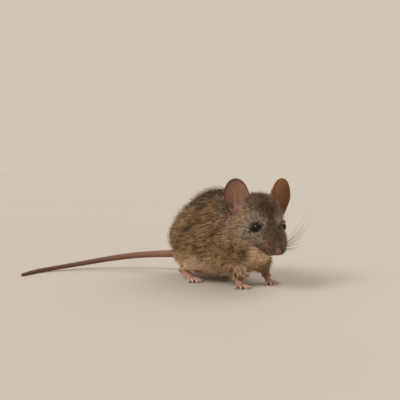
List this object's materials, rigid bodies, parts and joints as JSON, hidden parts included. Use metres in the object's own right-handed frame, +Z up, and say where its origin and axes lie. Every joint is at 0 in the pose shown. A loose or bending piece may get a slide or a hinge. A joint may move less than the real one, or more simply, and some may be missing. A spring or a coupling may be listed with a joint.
{
  "type": "house mouse figure",
  "caption": "Life-size still figure of a house mouse on all fours, head turned to its right and lowered, round ears raised, long tail trailing to the floor.",
  "frame": {"origin": "middle of the box around the mouse, on the floor under its soles", "axes": "+X forward along the trunk, +Y the mouse's left, +Z up"},
  "size_m": [0.1072, 0.0754, 0.0439],
  "materials": {
    "coat": "fur, olive brown with darker tips",
    "ear_skin": "thin bare skin with fine down",
    "foot_skin": "pale pink skin with sparse short hairs",
    "tail_skin": "fine scale rings with sparse hairs",
    "eye": "wet black gloss"
  },
  "bodies": {
    "root": {"trunk": "coat", "neck": "coat", "head": "coat", "eye_left": "eye", "eye_right": "eye", "ear_left": "ear_skin", "ear_right": "ear_skin", "hindleg_left": "coat", "hindleg_right": "coat", "foreleg_left": "coat", "foreleg_right": "coat", "hindfoot_left": "foot_skin", "hindfoot_right": "foot_skin", "forefoot_left": "foot_skin", "forefoot_right": "foot_skin", "tail_root": "tail_skin", "tail_middle": "tail_skin", "tail_tip": "tail_skin"}
  },
  "joints": []
}
